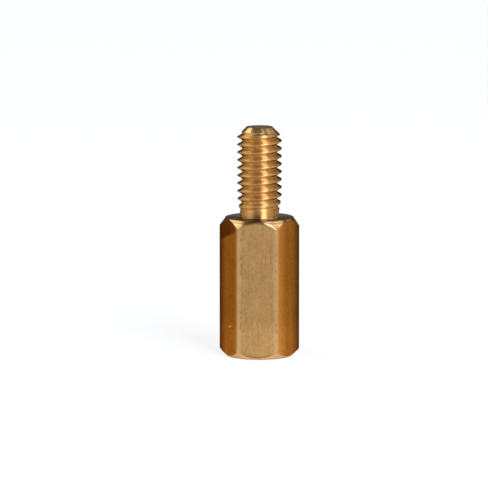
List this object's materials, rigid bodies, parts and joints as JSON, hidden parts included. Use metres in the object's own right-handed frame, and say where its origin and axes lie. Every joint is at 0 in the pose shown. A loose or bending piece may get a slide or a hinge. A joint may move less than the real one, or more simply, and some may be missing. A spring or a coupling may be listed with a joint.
{
  "type": "hex standoff",
  "caption": "Male-female hex standoff in brass: hexagonal body with a tapped blind hole in its base and a threaded stud on its shoulder.",
  "frame": {"origin": "middle of the base, the tapped end that the standoff stands on", "axes": "+Z along the axis from the base to the stud's tip, +X towards a corner of the hexagon, +Y square to a flat"},
  "size_m": [0.0052, 0.0044, 0.0148],
  "materials": {
    "brass": "drawn and turned brass, satin on the flats and brighter on the turned stud and chamfers"
  },
  "bodies": {
    "root": {"standoff": "brass"}
  },
  "joints": []
}
